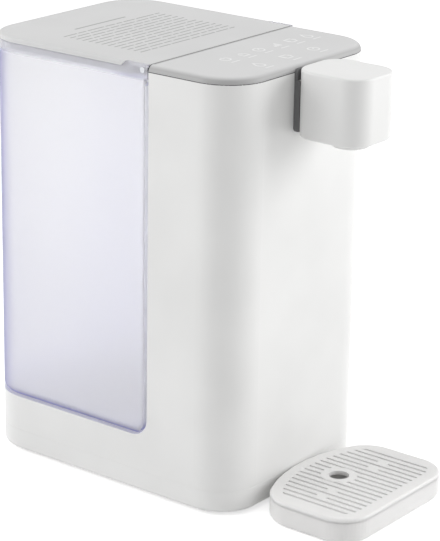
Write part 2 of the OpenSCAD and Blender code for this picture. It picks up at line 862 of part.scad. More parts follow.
// Pump motor with four cooling windows round its far end
module pump_motor() {
    collar_t = 1.5;
    shaft_end = 4;
    window_w = 3;
    window_l = 8;
    window_d = 2;
    window_y = pump_front_y - motor_l + 6;
    color(steel) difference() {
        union() {
            rod_y(motor_r, line_x, pump_front_y - motor_l, pump_front_y - collar_t, line_z);
            rod_y(motor_r * 0.55, line_x, pump_front_y - 2 * collar_t, pump_front_y, line_z);
        }
        rod_y(shaft_r + run_gap, line_x, pump_front_y - motor_l + shaft_end, pump_front_y + cut, line_z);
        for (a = [45, 135, 225, 315]) translate([line_x, 0, line_z]) rotate([0, a, 0])
            box([motor_r - window_d, window_y, -window_w / 2],
                [motor_r + cut, window_y + window_l, window_w / 2]);
    }
}

// Rubber cradle that carries the pump on the base
module pump_cradle() {
    motor_half = motor_r + 2;
    motor_y0 = pump_front_y - motor_l * 0.75;
    motor_y1 = pump_front_y - motor_l * 0.2;
    pump_y0 = pump_y - pump_l * 0.4;
    pump_y1 = pump_y + pump_l * 0.4;
    sole_t = cradle_t * 0.8;
    color(black) difference() {
        union() {
            box([line_x - motor_half, motor_y0, base_floor], [line_x + motor_half, motor_y1, line_z - motor_r / 3]);
            box([line_x - motor_r, pump_y0, base_floor], [line_x + motor_r, pump_y1, line_z - pump_r * 0.7]);
            box([line_x - motor_r, motor_y1 - cut, base_floor], [line_x + motor_r, pump_y0 + cut, base_floor + sole_t]);
        }
        rod_y(motor_r + run_gap, line_x, pump_front_y - motor_l, pump_front_y - 1, line_z);
        rod_y(pump_r + run_gap, line_x, pump_front_y - 1, pump_rear_y + cut, line_z);
    }
}

// Riser: straight over the pump's barb, across to the heater's axis, straight over the cap's barb
module riser_hose() {
    z0 = pump_outlet_z - barb_l + seat_gap;
    z1 = pump_outlet_z;
    z2 = heater_base_z - cap_t - barb_l;
    z3 = heater_base_z - cap_t - seat_gap;
    lean = (heater_y - pump_y) / (z2 - z1);
    color(silicone) {
        translate([riser_x, pump_y, z0]) hose_piece(z1 - z0);
        translate([riser_x, pump_y, z1])
            multmatrix([[1, 0, 0, 0], [0, 1, lean, 0], [0, 0, 1, 0], [0, 0, 0, 1]]) hose_piece(z2 - z1);
        translate([riser_x, heater_y, z2]) hose_piece(z3 - z2);
    }
}

// Heater: steel tube between two capped ends
module heater_tube() {
    tab_w = 6;
    tab_l = 7;
    tab_t = 1;
    tab_end = 22;
    tab_y = heater_y - 3;
    color(steel) difference() {
        union() {
            rod_z(heater_r, riser_x, heater_y, heater_base_z, heater_top_z);
            for (z = [heater_base_z + tab_end, heater_top_z - tab_end - tab_w])
                box([riser_x + heater_r - cut, tab_y, z], [riser_x + heater_r + tab_l, tab_y + tab_t, z + tab_w]);
        }
        rod_z(heater_r - tube_wall, riser_x, heater_y, heater_base_z - cut, heater_top_z + cut);
    }
}

module heater_cap() {
    difference() {
        union() {
            rotate_extrude() {
                translate([0, -cap_t]) square([cap_r, cap_t]);
                translate([heater_r + thread_gap, -cap_t]) square([cap_r - heater_r - thread_gap, cap_t + cap_lap]);
            }
            translate([0, 0, -cap_t - barb_l]) cylinder(r = barb_r, h = barb_l + cap_t);
        }
        translate([0, 0, -cap_t - barb_l - cut]) cylinder(r = barb_bore_r, h = barb_l + cap_t + 2 * cut);
    }
}

module heater_caps() {
    color(black) {
        translate([riser_x, heater_y, heater_base_z]) heater_cap();
        difference() {
            translate([riser_x, heater_y, heater_top_z]) mirror([0, 0, 1]) heater_cap();
            probe_at() translate([0, 0, -cut]) cylinder(r = probe_r + run_gap, h = cap_t + 2 * cut);
        }
    }
}

module probe_at() {
    translate([riser_x - probe_off, heater_y, heater_top_z]) children();
}

module temperature_probe() {
    color(steel) probe_at() {
        translate([0, 0, -2 * cap_t]) cylinder(r = probe_r, h = 3 * cap_t);
        translate([0, 0, cap_t]) cylinder(r = probe_head_r, h = cap_t);
    }
}

// Two straps that hold the heater to the bulkhead
module heater_straps() {
    strap_h = 10;
    strap_t = 2;
    strap_end = 36;
    leg_x = 7;
    sole_x = 12;
    color(steel) for (z = [heater_base_z + strap_end, heater_top_z - strap_end - strap_h]) difference() {
        union() {
            rod_z(heater_r + strap_t, riser_x, heater_y, z, z + strap_h);
            box([riser_x - leg_x, heater_y, z], [riser_x + leg_x, bulk_y, z + strap_h]);
            box([riser_x - sole_x, bulk_y - strap_t, z], [riser_x + sole_x, bulk_y, z + strap_h]);
        }
        rod_z(heater_r + run_gap, riser_x, heater_y, z - cut, z + strap_h + cut);
        box([riser_x - leg_x + strap_t, heater_y, z - cut],
            [riser_x + leg_x - strap_t, bulk_y - strap_t, z + strap_h + cut]);
    }
}

// Two thermal cut-outs, saddled on the front of the heater
module thermal_cutouts() {
    disc_r = 8;
    disc_h = 7;
    saddle = 3;
    wing_x = 11;
    wing_t = 2;
    front = heater_y - heater_r;
    color(black) for (z = [heater_base_z + 58, heater_top_z - 14]) difference() {
        union() {
            rod_y(disc_r, riser_x, front - disc_h, front + saddle, z);
            box([riser_x - wing_x, front - saddle, z - saddle],
                [riser_x + wing_x, front - saddle + wing_t, z + saddle]);
        }
        rod_z(heater_r + run_gap, riser_x, heater_y, z - 2 * disc_r, z + 2 * disc_r);
    }
}

spout_barb_y = nozzle_y + chamber_half;

// Outlet hose: up from the heater, round an elbow and forward through the neck
module outlet_hose() {
    z0 = heater_top_z + cap_t + seat_gap;
    z1 = spout_line_z - elbow_r;
    y1 = heater_y - elbow_r;
    y0 = spout_barb_y + seat_gap;
    color(silicone) {
        translate([riser_x, heater_y, z0]) hose_piece(z1 - z0);
        translate([riser_x, y1, z1]) rotate([0, 0, 90]) rotate([90, 0, 0]) rotate_extrude(angle = 90)
            translate([elbow_r, 0]) hose_ring();
        translate([riser_x, y1, spout_line_z]) rotate([90, 0, 0]) hose_piece(y1 - y0);
    }
}

module hose_ring() {
    difference() {
        circle(r = hose_r);
        circle(r = barb_r + run_gap);
    }
}

module hose_piece(l) {
    linear_extrude(l) hose_ring();
}

// Bracket that carries the head: flange inside the shell, hollow neck, shelf under the chamber
module spout_bracket() {
    y_flange = inner_front_y + flange_t;
    y_shelf = nozzle_y - chamber_half + chamber_wall;
    color(white) difference() {
        union() {
            box([-neck_half_w - flange_lap, inner_front_y, neck_z - flange_lap],
                [neck_half_w + flange_lap, y_flange, neck_top + flange_lap]);
            box([-neck_half_w, neck_end_y, neck_z], [neck_half_w, y_flange, neck_top]);
            box([-neck_half_w, y_shelf, neck_z], [neck_half_w, y_flange, shelf_top]);
        }
        box([-neck_half_w + neck_wall, neck_end_y - cut, shelf_top],
            [neck_half_w - neck_wall, y_flange + cut, neck_top - neck_wall]);
        rod_z(nozzle_tube_r + seat_gap, 0, nozzle_y, neck_z - cut, shelf_top + cut);
    }
}

// Small chamber over the nozzle where the hot water settles before it falls
module outlet_chamber() {
    z1 = shelf_top + chamber_h;
    color(silicone) difference() {
        union() {
            box([-chamber_half, nozzle_y - chamber_half, shelf_top], [chamber_half, nozzle_y + chamber_half, z1]);
            rod_y(barb_r, riser_x, spout_barb_y - cut, spout_barb_y + barb_l, spout_line_z);
        }
        box([-chamber_half + chamber_wall, nozzle_y - chamber_half + chamber_wall, shelf_top + chamber_wall],
            [chamber_half - chamber_wall, nozzle_y + chamber_half - chamber_wall, z1 - chamber_wall]);
        rod_y(barb_bore_r, riser_x, spout_barb_y - chamber_wall - cut, spout_barb_y + barb_l + cut, spout_line_z);
        rod_z(nozzle_tube_r + run_gap, 0, nozzle_y, shelf_top - cut, shelf_top + chamber_wall + cut);
    }
}

// A section with its two outer corners rounded, x = 0 on the outline
module rounded_edge(depth, z0, z1, r) {
    translate([-depth, z0]) square([depth - r, z1 - z0]);
    translate([-r, z0 + r]) square([r, z1 - z0 - 2 * r]);
    translate([-r, z0 + r]) circle(r = r);
    translate([-r, z1 - r]) circle(r = r);
}

// Head block with four rounded corners and rounded edges
module head_block() {
    sweep(head_path) rounded_edge(head_r / 2, head_z, head_top, head_edge_r);
    prism(grown(head_path, -head_r / 2), head_z, head_top);
}

// White cover of the head, open below and cut out round the neck
module head_cover() {
    color(white) difference() {
        head_block();
        prism(grown(head_path, -head_wall), head_z - cut, head_top - head_wall);
        box([-neck_half_w - seat_gap, neck_end_y, head_z - cut],
            [neck_half_w + seat_gap, head_back_y + cut, neck_top + seat_gap]);
    }
}

// Underside of the head, let into the cover
module head_base() {
    base_fit = 0.2;
    color(white) difference() {
        prism(grown(head_path, -head_wall - base_fit), head_z, head_z + head_floor_t);
        rod_z(nozzle_tube_r + seat_gap, 0, nozzle_y, head_z - cut, head_top);
    }
}

// Nozzle: plain ring below the head and a tube up into the chamber
module nozzle() {
    round_r = 1;
    flare = 3;
    tube_top = shelf_top + chamber_wall + flare - head_z;
    color(white) translate([0, nozzle_y, head_z]) rotate_extrude() difference() {
        union() {
            translate([0, -nozzle_h]) square([nozzle_r - round_r, nozzle_h]);
            translate([0, round_r - nozzle_h]) square([nozzle_r, nozzle_h - round_r]);
            translate([nozzle_r - round_r, round_r - nozzle_h]) circle(r = round_r);
            translate([0, -cut]) square([nozzle_tube_r, cut + tube_top]);
        }
        translate([-cut, -nozzle_h - cut]) square([outlet_r + cut, body_h]);
        polygon([[0, -nozzle_h - touch], [outlet_r + flare, -nozzle_h - touch],
            [outlet_r, flare - nozzle_h], [0, flare - nozzle_h]]);
    }
}

// Side view of the tank, grown inwards by skin
module tank_side(skin, floor_t) {
    y0 = tank_front_y + tank_step + skin;
    z0 = tank_z + floor_t;
    r = tank_toe_r - skin;
    y1 = rear_y + cut;
    translate([y0, z0 + r]) square([y1 - y0, rim_z - z0 - r]);
    translate([y0 + r, z0]) square([y1 - y0 - r, rim_z - z0]);
    translate([y0 + r, z0 + r]) circle(r = r);
}

// Side view of the ears: a block at the front with a sloped back end
module ear_side(gap) {
    y1 = tank_front_y + ear_l;
    polygon([
        [tank_front_y + tank_step, ear_foot_z],
        [tank_front_y, ear_foot_z + 2 * tank_step],
        [tank_front_y, body_h],
        [y1 - ear_slope + gap, body_h],
        [y1 + gap, rim_z],
        [y1 + gap, ear_foot_z]]);
}

// Clear tank: full width of the body, rounded toe, two ears that carry the lid
module tank_shell() {
    color(clear_tint, 0.5) difference() {
        intersection() {
            union() {
                sweep(body_path) lower_rounded(corner_r / 2, tank_z, body_h, tank_edge_r);
                prism(grown(body_path, -corner_r / 2), tank_z, body_h);
            }
            union() {
                across(body_w) tank_side(0, 0);
                across(body_w) ear_side(0);
            }
        }
        intersection() {
            union() {
                sweep(grown(body_path, -tank_wall))
                    lower_rounded(corner_r / 2, tank_inner_z, body_h + cut, tank_edge_r - tank_wall);
                prism(grown(body_path, -tank_wall - corner_r / 2), tank_inner_z, body_h + cut);
            }
            union() {
                across(body_w) tank_side(tank_wall, tank_floor);
                box([-half_w, tank_front_y + tank_step + tank_wall, front_wall_top],
                    [half_w, rear_y, body_h + cut]);
            }
        }
        box([-half_w + tank_wall, tank_front_y - cut, front_wall_top],
            [half_w - tank_wall, tank_front_y + ear_l, body_h + cut]);
        rod_x(hinge_pin_r + run_gap, -half_w - cut, half_w + cut, hinge_y, hinge_z);
        rod_z(spigot_r + seat_gap, 0, valve_y, tank_z - cut, tank_inner_z + cut);
    }
}

// A section with only its lower outer corner rounded
module lower_rounded(depth, z0, z1, r) {
    translate([-depth, z0]) square([depth - r, z1 - z0]);
    translate([-r, z0 + r]) square([r, z1 - z0 - r]);
    translate([-r, z0 + r]) circle(r = r);
}

// Valve body: flange on the tank floor, spigot below with the seat, windowed cage above
module valve_body() {
    flange_z = tank_inner_z + gasket_t;
    window_w = 8;
    window_z = flange_z + flange_h + 1.5;
    color(white) translate([0, valve_y, 0]) difference() {
        rotate_extrude() {
            translate([spigot_bore_r, spigot_z]) square([spigot_r - spigot_bore_r, cage_top - spigot_z]);
            translate([spigot_bore_r, flange_z]) square([flange_r - spigot_bore_r, flange_h]);
            translate([seat_r, spigot_z]) square([spigot_r - seat_r, seat_t]);
        }
        for (a = [0, 90]) rotate([0, 0, a])
            box([-flange_r, -window_w / 2, window_z], [flange_r, window_w / 2, cage_top - flange_h]);
    }
}

module valve_gasket() {
    color(silicone) translate([0, valve_y, tank_inner_z]) rotate_extrude()
        translate([spigot_r + seat_gap, 0]) square([flange_r - spigot_r - seat_gap, gasket_t]);
}

// Perforated cap on the valve's cage, which also backs the spring
module strainer_cap() {
    plate_t = 2;
    hole_count = 8;
    hole_ring = 8.5;
    hole_r = 1.6;
    color(white) translate([0, valve_y, cage_top]) difference() {
        cylinder(r = spigot_r, h = plate_t);
        translate([0, 0, -cut]) cylinder(r = stem_r + seat_gap, h = plate_t + 2 * cut);
        for (i = [0 : hole_count - 1]) rotate([0, 0, i * 360 / hole_count]) translate([hole_ring, 0, -cut])
            cylinder(r = hole_r, h = plate_t + 2 * cut);
    }
}

// Poppet on its seat: stem up through the cap, foot down to the opening pin
module valve_poppet() {
    color(white) translate([0, valve_y, 0]) {
        rod_z(poppet_r, 0, 0, poppet_z, poppet_z + poppet_t);
        rod_z(stem_r, 0, 0, spigot_z - stem_below, cage_top + cut);
    }
}

// Spring round the stem, from the poppet to the cap, as one swept wire
spring_r = 4.6;
wire_r = 0.5;
spring_turns = 6;
turn_rings = 16;
wire_sides = 6;

module valve_spring() {
    z0 = poppet_z + poppet_t + wire_r + run_gap;
    z1 = cage_top - wire_r - run_gap;
    rings = spring_turns * turn_rings;
    points = [for (i = [0 : rings], k = [0 : wire_sides - 1])
        let (
            t = 360 * i / turn_rings,
            s = 360 * k / wire_sides,
            r = spring_r + wire_r * cos(s),
            z = z0 + (z1 - z0) * i / rings + wire_r * sin(s))
        [r * cos(t), r * sin(t), z]];
    sides = [for (i = [0 : rings - 1], k = [0 : wire_sides - 1])
        let (a = i * wire_sides + k, b = i * wire_sides + (k + 1) % wire_sides)
        each [[a, b, b + wire_sides], [a, b + wire_sides, a + wire_sides]]];
    start = [for (k = [1 : wire_sides - 2]) [0, k + 1, k]];
    last = rings * wire_sides;
    finish = [for (k = [1 : wire_sides - 2]) [last, last + k, last + k + 1]];
    echo(least_gap = (z1 - z0) / spring_turns - 2 * wire_r);
    color(steel) translate([0, valve_y, 0])
        polyhedron(points = points, faces = concat(sides, start, finish));
}

// Side view of the lid: plate, nose at the seam and edge
module lid_side() {
    y0 = tank_front_y;
    nose_z = hinge_z - 1;
    translate([y0 + lid_nose_r, nose_z]) square([rear_y - y0, body_h - nose_z]);
    translate([y0, nose_z]) square([lid_nose_r + 0.5, body_h - lid_nose_r - nose_z]);
    translate([y0 + lid_nose_r, body_h - lid_nose_r]) circle(r = lid_nose_r);
}

// Grey lid: plate with a thicker edge, a nose at the seam and two knuckles between the ears
module lid_cover() {
    edge_w = tank_wall + loose_gap - run_gap;
    nose_w = 3;
    color(grey) difference() {
        union() {
            intersection() {
                union() {
                    sweep(body_path) upper_rounded(edge_w, body_h - lid_t, body_h, lid_edge_r);
                    sweep(body_path) upper_rounded(corner_r / 2, plate_z, body_h, lid_edge_r);
                    prism(grown(body_path, -corner_r / 2), plate_z, body_h);
                }
                across(body_w + 2 * cut) lid_side();
            }
            intersection() {
                box([-lid_half_w, tank_front_y, hinge_z - 1], [lid_half_w, tank_front_y + nose_w, body_h]);
                across(body_w + 2 * cut) lid_side();
            }
            for (sx = [-1, 1]) rod_x(knuckle_r, sx < 0 ? -lid_half_w : lid_half_w - knuckle_l,
                sx < 0 ? knuckle_l - lid_half_w : lid_half_w, hinge_y, hinge_z);
        }
        for (sx = [-1, 1]) intersection() {
            across(2 * body_w) ear_side(loose_gap);
            box([sx < 0 ? -body_w : lid_half_w, tank_front_y - cut, ear_foot_z],
                [sx < 0 ? -lid_half_w : body_w, rear_y, body_h + cut]);
        }
        for (sx = [-1, 1]) box([sx < 0 ? -body_w : lid_half_w, tank_front_y - cut, plate_z - 10],
            [sx < 0 ? -lid_half_w : body_w, hinge_y, body_h + cut]);
        rod_x(hinge_pin_r, -half_w, knuckle_l - lid_half_w - 2, hinge_y, hinge_z);
        rod_x(hinge_pin_r, lid_half_w - knuckle_l + 2, half_w, hinge_y, hinge_z);
    }
}

// A section with only its upper outer corner rounded
module upper_rounded(depth, z0, z1, r) {
    translate([-depth, z0]) square([depth - r, z1 - z0]);
    translate([-r, z0]) square([r, z1 - z0 - r]);
    translate([-r, z1 - r]) circle(r = r);
}

// Inner skirt of the lid, just inside the tank's walls
module lid_skirt() {
    inset = tank_wall + loose_gap;
    front_r = 8;
    y0 = hinge_y + knuckle_r + 3;
    path = [
        [half_w - inset - front_r, y0 + front_r, front_r, -90, 0],
        [half_w - corner_r, rear_y - corner_r, corner_r - inset, 0, 90],
        [corner_r - half_w, rear_y - corner_r, corner_r - inset, 90, 180],
        [front_r + inset - half_w, y0 + front_r, front_r, 180, 270]];
    color(grey) sweep(path) translate([-skirt_wall, plate_z - skirt_h]) square([skirt_wall, skirt_h]);
}

module lid_hinge_pins() {
    color(steel) {
        rod_x(hinge_pin_r, seat_gap - half_w, knuckle_l - lid_half_w - 2, hinge_y, hinge_z);
        rod_x(hinge_pin_r, lid_half_w - knuckle_l + 2, half_w - seat_gap, hinge_y, hinge_z);
    }
}

// Points along an outline, arc_steps to a quarter turn
function outline_points(path) = [for (k = [0 : len(path) - 1])
    let (
        a = path[k],
        b = path[(k + 1) % len(path)],
        steps = ceil((a[4] - a[3]) / 90 * arc_steps),
        meets_next = norm(arc_point(a, a[4]) - arc_point(b, b[3])) < touch)
    for (i = [0 : steps - (meets_next ? 1 : 0)]) arc_point(a, a[3] + (a[4] - a[3]) * i / steps)];

// A closed skin through rings of points, each ring running anticlockwise
module skin(rings) {
    m = len(rings[0]);
    last = (len(rings) - 1) * m;
    sides = [for (j = [0 : len(rings) - 2], i = [0 : m - 1])
        let (a = j * m + i, b = j * m + (i + 1) % m)
        each [[a, b + m, b], [a, a + m, b + m]]];
    start = [for (i = [1 : m - 2]) [0, i, i + 1]];
    finish = [for (i = [1 : m - 2]) [last, last + i + 1, last + i]];
    polyhedron(points = [for (ring = rings) each ring], faces = concat(sides, start, finish));
}

// Inset and height along a rounded lower edge, from the floor up to the wall
function edge_section(r) = [for (i = [0 : edge_steps])
    let (t = 90 * i / edge_steps)
    [r * (1 - sin(t)), r * (1 - cos(t))]];

// Tray pan: one wall with a rounded lower edge, and a pocket for its magnet
module tray_pan() {
    inner = edge_section(tray_edge_r - tray_wall);
    section = concat(
        edge_section(tray_edge_r),
        [[0, pan_top], [tray_wall, pan_top]],
        [for (i = [edge_steps : -1 : 0]) inner[i] + [tray_wall, tray_wall]]);
    color(white) difference() {
        union() {
            skin([for (s = section)
                [for (p = outline_points(grown(tray_path, -s[0]))) [p[0], p[1], s[1]]]]);
            pocket_box(pocket_wall, tray_wall / 2, magnet_h + tray_wall);
        }
        pocket_box(thread_gap, tray_wall, magnet_h + tray_wall + cut);
    }
}

// Box round the tray's magnet, grown sideways by skin
module pocket_box(skin, z0, z1) {
    box([-magnet_w / 2 - skin, pocket_y - magnet_t - skin, z0], [magnet_w / 2 + skin, pocket_y + skin, z1]);
}

module tray_magnet() {
    color(steel) pocket_box(0, tray_wall, tray_wall + magnet_h - seat_gap);
}

// Drain slots: a fan cut off along the outline, with a plain ring and four bridges
module drain_slots() {
    bridged = [-6, -4, 4, 6];
    intersection() {
        fill(grown(tray_path, -slot_margin));
        difference() {
            for (i = [-slot_side : slot_side])
                translate([i * slot_pitch - slot_w / 2, tray_front_y]) square([slot_w, tray_reach]);
            translate([0, nozzle_y]) circle(r = ring_r);
            for (i = bridged)
                translate([(i - 0.5) * slot_pitch, nozzle_y - bridge_back - bridge_l / 2])
                    square([slot_pitch, bridge_l]);
        }
    }
}

// Inset and height along a rounded upper edge, from the wall up to the top
function brow_section(r, top) = [for (i = [0 : edge_steps])
    let (t = 90 * i / edge_steps)
    [r * (1 - cos(t)), top - r * (1 - sin(t))]];

// Grille: a cover with a soft top edge and a lip inside the pan's wall
module tray_grille() {
    lip_x = tray_wall + loose_gap;
    lip_z = grille_z - grille_lip_h;
    section = concat(
        [[lip_x + grille_lip_t, grille_z], [lip_x + grille_lip_t, lip_z], [lip_x, lip_z], [lip_x, grille_z]],
        [[0, grille_z]],
        brow_section(grille_edge_r, tray_h));
    color(white) difference() {
        skin([for (s = section)
            [for (p = outline_points(grown(tray_path, -s[0]))) [p[0], p[1], s[1]]]]);
        rod_z(finger_r, 0, nozzle_y, grille_z - cut, tray_h + cut);
        translate([0, 0, grille_z - cut]) linear_extrude(grille_t + 2 * cut) drain_slots();
    }
}

outer_shell();
base_plate();
rubber_feet();
base_screws();
cord_gland();
base_magnet();
control_panel();
touch_board();
power_board();
board_screws();
tank_coupling();
coupling_seal();
inlet_hose();
flow_meter();
flow_wheel();
suction_hose();
pump_housing();
pump_rotor();
pump_motor();
pump_cradle();
riser_hose();
heater_tube();
heater_caps();
heater_straps();
thermal_cutouts();
temperature_probe();
outlet_hose();
spout_bracket();
outlet_chamber();
head_cover();
head_base();
nozzle();
tank_shell();
valve_body();
valve_gasket();
strainer_cap();
valve_spring();
valve_poppet();
lid_cover();
lid_skirt();
lid_hinge_pins();
tray_pan();
tray_magnet();
tray_grille();
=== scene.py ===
"""Worktop hot water dispenser: finishes, prints, seals, light and camera over the CAD model."""
import json
import math

import bmesh
import bpy
from mathutils import Matrix, Vector
from mathutils.geometry import convex_hull_2d


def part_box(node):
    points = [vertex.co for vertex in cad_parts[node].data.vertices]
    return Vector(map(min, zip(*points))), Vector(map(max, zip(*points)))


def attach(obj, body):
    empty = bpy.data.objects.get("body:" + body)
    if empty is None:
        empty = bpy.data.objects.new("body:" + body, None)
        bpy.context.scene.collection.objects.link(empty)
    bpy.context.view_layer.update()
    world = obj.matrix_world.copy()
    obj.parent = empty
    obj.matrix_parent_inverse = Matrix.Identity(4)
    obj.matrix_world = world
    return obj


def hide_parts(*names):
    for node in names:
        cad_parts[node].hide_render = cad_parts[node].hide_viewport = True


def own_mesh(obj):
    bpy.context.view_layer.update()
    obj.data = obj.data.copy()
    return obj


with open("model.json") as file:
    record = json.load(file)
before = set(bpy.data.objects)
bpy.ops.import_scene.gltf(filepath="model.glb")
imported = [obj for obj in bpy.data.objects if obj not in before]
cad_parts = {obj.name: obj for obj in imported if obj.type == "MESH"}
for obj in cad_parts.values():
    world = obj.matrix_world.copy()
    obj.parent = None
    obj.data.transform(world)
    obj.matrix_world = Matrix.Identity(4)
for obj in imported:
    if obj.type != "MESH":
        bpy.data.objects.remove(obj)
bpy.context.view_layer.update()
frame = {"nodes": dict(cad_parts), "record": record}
scene = bpy.context.scene
MM = 0.001
# Sockets of the Mix node when it mixes colours, and the socket of its result
SHARE, FROM, TO, MIXED = 0, 6, 7, 2


def srgb(code):
    """An sRGB hex colour as linear red, green and blue with full alpha."""
    parts = [int(code[i:i + 2], 16) / 255 for i in (1, 3, 5)]
    linear = [c / 12.92 if c <= 0.04045 else ((c + 0.055) / 1.055) ** 2.4 for c in parts]
    return linear + [1.0]


def per_metre(size_mm):
    """Texture scale at which one grain of the pattern is size_mm wide."""
    return 1000 / size_mm


def add(tree, kind, settings=None, links=None):
    """Adds one node: settings go to its sockets or properties, links to its sockets."""
    made = tree.nodes.new(kind)
    for key, value in (settings or {}).items():
        if isinstance(key, int) or key in made.inputs:
            made.inputs[key].default_value = value
        else:
            setattr(made, key, value)
    for key, source in (links or {}).items():
        tree.links.new(source, made.inputs[key])
    return made


def finish(name):
    """A new empty material with its node tree and the object's own coordinates in metres."""
    made = bpy.data.materials.new(name)
    made.use_nodes = True
    made.node_tree.nodes.clear()
    place = add(made.node_tree, "ShaderNodeTexCoord").outputs["Object"]
    return made, made.node_tree, place


def close_with(tree, surface, volume=None):
    """Links a shader, and a volume where there is one, to the material's output."""
    links = {"Surface": surface.outputs[0]}
    if volume:
        links["Volume"] = volume.outputs[0]
    add(tree, "ShaderNodeOutputMaterial", None, links)


def mottled(tree, place, size_mm, detail, colours, ends=(0.0, 1.0)):
    """Soft patches size_mm wide: their strength, and a colour that drifts with it."""
    patches = add(tree, "ShaderNodeTexNoise", {"Scale": per_metre(size_mm), "Detail": detail},
                  {"Vector": place})
    strength = patches.outputs["Fac"]
    ramp = add(tree, "ShaderNodeValToRGB", None, {"Fac": strength})
    for stop, at, code in zip(ramp.color_ramp.elements, ends, colours):
        stop.position, stop.color = at, srgb(code)
    return strength, ramp.outputs["Color"]


def melt_drift(tree, place, dark, light):
    """The slow drift of colour that the melt's flow leaves in a moulded part."""
    return mottled(tree, place, 70, 2.0, (dark, light), (0.35, 0.65))[1]


def spark_grain(tree, place, size_mm, depth_mm, rough, strength):
    """The mould's spark-eroded grain, as links to a shader's roughness and normal.

    The real grain is under 0.1 mm and would not show, so it is drawn coarser.
    """
    grain = add(tree, "ShaderNodeTexNoise", {"Scale": per_metre(size_mm), "Detail": 3.0},
                {"Vector": place}).outputs["Fac"]
    sheen = add(tree, "ShaderNodeMapRange", {"To Min": rough - 0.05, "To Max": rough + 0.05},
                {"Value": grain})
    relief = add(tree, "ShaderNodeBump", {"Strength": strength, "Distance": depth_mm * MM},
                 {"Height": grain})
    return {"Roughness": sheen.outputs["Result"], "Normal": relief.outputs["Normal"]}


def moulded_plastic(name, dark, light, rough, grain_mm, depth_mm, ior, glow=0.0):
    """Moulded plastic or rubber: a slow drift of colour and a fine spark-eroded grain.

    The drift keeps large pale faces from looking painted, and the grain breaks up reflections.
    The glow is the share of light that goes a little way in, which fills narrow slots.
    """
    made, tree, place = finish(name)
    inside = {"Subsurface Weight": glow, "Subsurface Scale": 4 * MM, "Subsurface Radius": (1, 1, 1)}
    shader = add(tree, "ShaderNodeBsdfPrincipled", {"IOR": ior, **inside}, {
        "Base Color": melt_drift(tree, place, dark, light),
        **spark_grain(tree, place, grain_mm, depth_mm, rough, 0.35)})
    close_with(tree, shader)
    return made


def film_with_painted_edge_shade():
    """Touch panel: grey printed film, with its domed edge painted a darker grey as painted shade
    where it falls away.
    """
    made, tree, place = finish("matte_film_with_painted_edge_shade")
    film = melt_drift(tree, place, "#D3D3D3", "#D7D7D7")
    normal = add(tree, "ShaderNodeTexCoord").outputs["Normal"]
    upward = add(tree, "ShaderNodeSeparateXYZ", None, {0: normal}).outputs["Z"]
    # Painted shade: the colour turns darker grey where the edge starts to fall away
    share = add(tree, "ShaderNodeMapRange", {"From Min": 0.6, "From Max": 0.97}, {"Value": upward})
    tone = add(tree, "ShaderNodeMix", {"data_type": "RGBA", FROM: srgb("#AFAFAF")},
               {SHARE: share.outputs["Result"], TO: film})
    shader = add(tree, "ShaderNodeBsdfPrincipled", {"IOR": 1.53}, {
        "Base Color": tone.outputs[MIXED],
        **spark_grain(tree, place, 0.8, 0.02, 0.47, 0.3)})
    close_with(tree, shader)
    return made


# Heights of the tank's rounded foot and of its rim, in mm over the table
TANK_FOOT, TANK_RIM = 44.5, 292


